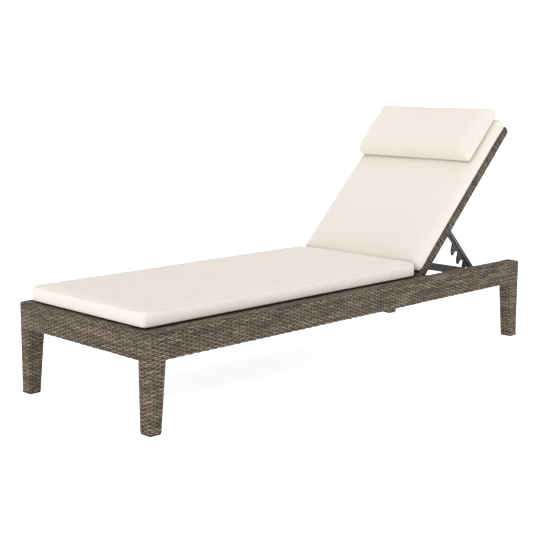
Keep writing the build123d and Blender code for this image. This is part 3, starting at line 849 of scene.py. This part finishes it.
def welt(name, path, radius, sides=6):
    """A closed round cord along a ring of points."""
    path = np.asarray(path)
    ahead = np.roll(path, -1, 0) - np.roll(path, 1, 0)
    ahead /= np.linalg.norm(ahead, axis=1, keepdims=True) + 1e-12
    up = np.tile(np.array((0.0, 0.0, 1.0)), (len(path), 1))
    right = np.cross(ahead, up)
    right /= np.linalg.norm(right, axis=1, keepdims=True) + 1e-12
    up = np.cross(right, ahead)
    rings = []
    for index in range(sides):
        turn = 2 * pi * index / sides
        rings.append(path + radius * (cos(turn) * right + sin(turn) * up))
    points = np.stack(rings, 1).reshape(-1, 3)
    faces = []
    for ring in range(len(path)):
        other = (ring + 1) % len(path)
        for index in range(sides):
            after = (index + 1) % sides
            faces.append((ring * sides + index, ring * sides + after, other * sides + after,
                          other * sides + index))
    mesh = bpy.data.meshes.new(name)
    mesh.from_pydata([tuple(p) for p in points], [], faces)
    mesh.materials.append(WELT)
    mesh.polygons.foreach_set("use_smooth", [True] * len(mesh.polygons))
    piece = bpy.data.objects.new(name, mesh)
    rest.objects.link(piece)
    return piece


def snapped(ring, piece, sink):
    """Ring points moved to the nearest place on a cover, sunk into it a little."""
    tree = BVHTree.FromPolygons([v.co[:] for v in piece.data.vertices],
                                [p.vertices[:] for p in piece.data.polygons])
    placed = []
    for point in ring:
        spot, normal, _, _ = tree.find_nearest(Vector(point))
        placed.append(tuple(spot - normal * sink))
    placed = np.array(placed)
    for _ in range(3):
        placed = (np.roll(placed, 1, 0) + 2 * placed + np.roll(placed, -1, 0)) / 4
    return placed


def waves(points, seed, amount, size):
    """Soft uneven filling: a few broad waves of known phase."""
    pick = np.random.default_rng(seed)
    total = np.zeros(len(points))
    for _ in range(7):
        way = pick.normal(size=2)
        way /= np.linalg.norm(way)
        reach = size * pick.uniform(0.6, 1.6)
        total += np.sin((points[:, :2] @ way) * 2 * pi / reach + pick.uniform(0, 6.3))
    return total / 7 * amount


# Seat cushion: a long boxed pad with a seam round its top and bottom edges
seat_low, seat_high = (np.array(v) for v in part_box("seat_cushion"))
seat_size = seat_high - seat_low
seat_mid = (seat_low + seat_high) / 2
shell = seat_size - np.array((5, 3, 3)) * MM
seat = padded_block("seat_cushion_cover", tuple(shell), 9 * MM, 6 * MM, 3.5 * MM, 8 * MM)
half = shell / 2


def on_edge_rings(points, reach=6 * MM):
    """Which points lie on the top or bottom edge ring of a boxed pad."""
    ring = np.maximum(np.abs(points[:, 0]) - half[0], np.abs(points[:, 1]) - half[1])
    level = np.abs(np.abs(points[:, 2]) - half[2])
    return (ring > -reach) & (level < reach)


points = filled(seat, on_edge_rings, 6 * MM, 3.0, 0.012)
inside = np.minimum(half[0] - np.abs(points[:, 0]), half[1] - np.abs(points[:, 1]))
edge_share = np.clip(inside / (70 * MM), 0, 1)
top_face = points[:, 2] > 0
points[:, 2] += np.where(top_face, waves(points, 3, 2.2 * MM, 0.34) * edge_share, 0)
points[:, 2] = np.maximum(points[:, 2], -seat_size[2] / 2)
settle(seat, points)
place_mesh(seat.data, coordinates(seat.data) + seat_mid)
ring, _ = outline(half[0] + 0.5 * MM, half[1] + 0.5 * MM, 11 * MM, 520)
for label, level in (("top", half[2] - 4 * MM), ("bottom", -half[2] + 4 * MM)):
    path = np.column_stack((ring, np.full(len(ring), level))) + seat_mid
    cord = welt(f"seat_cushion_welt_{label}", snapped(path, seat, 0.4 * MM), 1.3 * MM)
    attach(cord, "bed_frame")
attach(seat, "bed_frame")
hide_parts("seat_cushion")


# Back cushion: a softer boxed pad with round sides
def back_place(points, middle):
    """Pad points, x up the back, y across and z out of it, in the shared frame."""
    return on_back(points + np.asarray(middle))


pad_start, pad_end = -3 * MM, BACK_LENGTH
pad_back, pad_thick = 24 * MM, 60 * MM
pad_half_y = span("back_cushion", 1)[1]
shell = np.array((pad_end - pad_start - 8 * MM, 2 * pad_half_y - 8 * MM, pad_thick - 6 * MM))
pad = padded_block("back_cushion_cover", tuple(shell), 14 * MM, 15 * MM, 10 * MM, 8 * MM)
half = shell / 2
pad_middle = ((pad_start + pad_end) / 2, 0.0, pad_back + pad_thick / 2)


def on_mid_band(points):
    """The seam line round the middle of a soft pad's sides."""
    ring = np.maximum(np.abs(points[:, 0]) - half[0], np.abs(points[:, 1]) - half[1])
    return (ring > -4 * MM) & (np.abs(points[:, 2] + half[2] * 0.55) < 4 * MM)


points = eased(pad, filled(pad, on_mid_band, 5 * MM, 3.0, 0.01), 5)
inside = np.minimum(half[0] - np.abs(points[:, 0]), half[1] - np.abs(points[:, 1]))
edge_share = np.clip(inside / (80 * MM), 0, 1)
points[:, 2] += np.where(points[:, 2] > 0, waves(points, 8, 2.5 * MM, 0.36) * edge_share, 0)
points[:, 2] = np.maximum(points[:, 2], -pad_thick / 2)
settle(pad, points)
ring, _ = outline(half[0], half[1], 24 * MM, 420)
path = np.column_stack((ring, np.full(len(ring), -half[2] * 0.55)))
path = snapped(path, pad, 0.3 * MM)
place_mesh(pad.data, back_place(coordinates(pad.data), pad_middle))
cord = welt("back_cushion_welt", back_place(path, pad_middle), 1.3 * MM)
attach(cord, "back")
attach(pad, "back")
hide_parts("back_cushion")

# Head pillow: well filled and crowned, with pinched corners
pillow_low, pillow_high = 510 * MM, 790 * MM
pillow_back = 86.5 * MM
PILLOW_CROWN = 13 * MM
pillow_half_y = span("head_pillow", 1)[1]
shell = np.array((pillow_high - pillow_low - 8 * MM, 2 * pillow_half_y - 8 * MM, 56 * MM))
pillow = padded_block("head_pillow_cover", tuple(shell), 18 * MM, 24 * MM, 8 * MM, 6.5 * MM)
half = shell / 2
pillow_middle = ((pillow_low + pillow_high) / 2, 0.0, pillow_back + half[2] + 1 * MM)


def on_pillow_seam(points):
    """The base seam of the pillow, where its face is sewn to its back."""
    ring = np.maximum(np.abs(points[:, 0]) - half[0], np.abs(points[:, 1]) - half[1])
    return (ring > -5 * MM) & (points[:, 2] < -half[2] * 0.6)


points = eased(pillow, filled(pillow, on_pillow_seam, 9 * MM, 5.0, 0.02), 10)
along = np.clip(np.abs(points[:, 0]) / half[0], 0, 1)
aside = np.clip(np.abs(points[:, 1]) / half[1], 0, 1)
raised = np.clip((points[:, 2] / half[2] + 1) / 2, 0, 1)
raised = raised ** 2 * (3 - 2 * raised)
crown = np.cos(along * pi / 2) * (1 - aside ** 10)
points[:, 2] += raised * (crown * PILLOW_CROWN + waves(points, 5, 1.0 * MM, 0.35) * (1 - along ** 4))
pinch = (along ** 6) * (aside ** 28) * np.where(points[:, 0] < 0, 0.45, 0.15)
points[:, 2] -= raised * pinch * (points[:, 2] + half[2])
points[:, 2] = np.maximum(points[:, 2], -half[2])
settle(pillow, points)
ring, _ = outline(half[0] + 1 * MM, half[1] + 1 * MM, 16 * MM, 360)
path = snapped(np.column_stack((ring, np.full(len(ring), -half[2] * 0.72))), pillow, 0.2 * MM)
place_mesh(pillow.data, back_place(coordinates(pillow.data), pillow_middle))
cord = welt("head_pillow_welt", back_place(path, pillow_middle), 1.4 * MM)
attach(cord, "back")
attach(pillow, "back")
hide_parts("head_pillow")


# ---------------------------------------------------------------- floor, light and camera
def stage_material(name, colour, roughness):
    material = bpy.data.materials.new(name)
    material.use_nodes = True
    shader = material.node_tree.nodes["Principled BSDF"]
    shader.inputs["Base Color"].default_value = colour
    shader.inputs["Roughness"].default_value = roughness
    shader.inputs["Specular IOR Level"].default_value = 0.1
    shader.inputs["Emission Color"].default_value = (1, 1, 1, 1)
    shader.inputs["Emission Strength"].default_value = 0.75
    return material


floor_mesh = bpy.data.meshes.new("studio_floor")
floor_mesh.from_pydata([(-30, -30, 0), (30, -30, 0), (30, 30, 0), (-30, 30, 0)], [], [(0, 1, 2, 3)])
floor_mesh.materials.append(stage_material("pale floor", (0.92, 0.92, 0.92, 1), 0.9))
floor = bpy.data.objects.new("studio_floor", floor_mesh)
rest.objects.link(floor)

world = bpy.data.worlds.new("studio")
bpy.context.scene.world = world
world.use_nodes = True
sky = Wiring(world.node_tree)
seen = sky.add("ShaderNodeLightPath").outputs["Is Camera Ray"]
backdrop = world.node_tree.nodes["Background"]
backdrop.inputs["Color"].default_value = (1, 1, 1, 1)
sky.feed(backdrop.inputs["Strength"], sky.math("ADD", 0.68, sky.math("MULTIPLY", seen, 0.37)))


def soft_sun(name, toward, strength, angle, colour=(1, 1, 1)):
    """A wide, even light from one direction."""
    light = bpy.data.lights.new(name, "SUN")
    light.energy = strength
    light.angle = radians(angle)
    light.color = colour
    lamp = bpy.data.objects.new(name, light)
    rest.objects.link(lamp)
    lamp.rotation_euler = Vector(toward).to_track_quat("-Z", "Y").to_euler()
    return lamp


soft_sun("overhead_light", (0.25, 0.3, -1.0), 1.2, 90)
soft_sun("foot_side_light", (1.0, -0.15, -0.7), 0.35, 60, (1.0, 0.985, 0.96))

YAW, PITCH, ROLL = radians(45.18577), radians(9.616335), radians(0.20695)
LENS = 76.817
CAMERA_PLACE = (-3.091979, -2.957792, 1.092738)
ahead = Vector((cos(YAW) * cos(PITCH), sin(YAW) * cos(PITCH), -sin(PITCH)))
level = Vector((sin(YAW), -cos(YAW), 0))
upward = level.cross(ahead)
right = cos(ROLL) * level + sin(ROLL) * upward
above = -sin(ROLL) * level + cos(ROLL) * upward
camera_data = bpy.data.cameras.new("camera")
camera_data.sensor_width = 36
camera_data.lens = LENS
camera_data.clip_end = 100
camera = bpy.data.objects.new("camera", camera_data)
rest.objects.link(camera)
turn = Matrix((right, above, -ahead)).transposed().to_4x4()
camera.matrix_world = Matrix.Translation(CAMERA_PLACE) @ turn
bpy.context.scene.camera = camera
bpy.context.scene.view_settings.view_transform = "Standard"
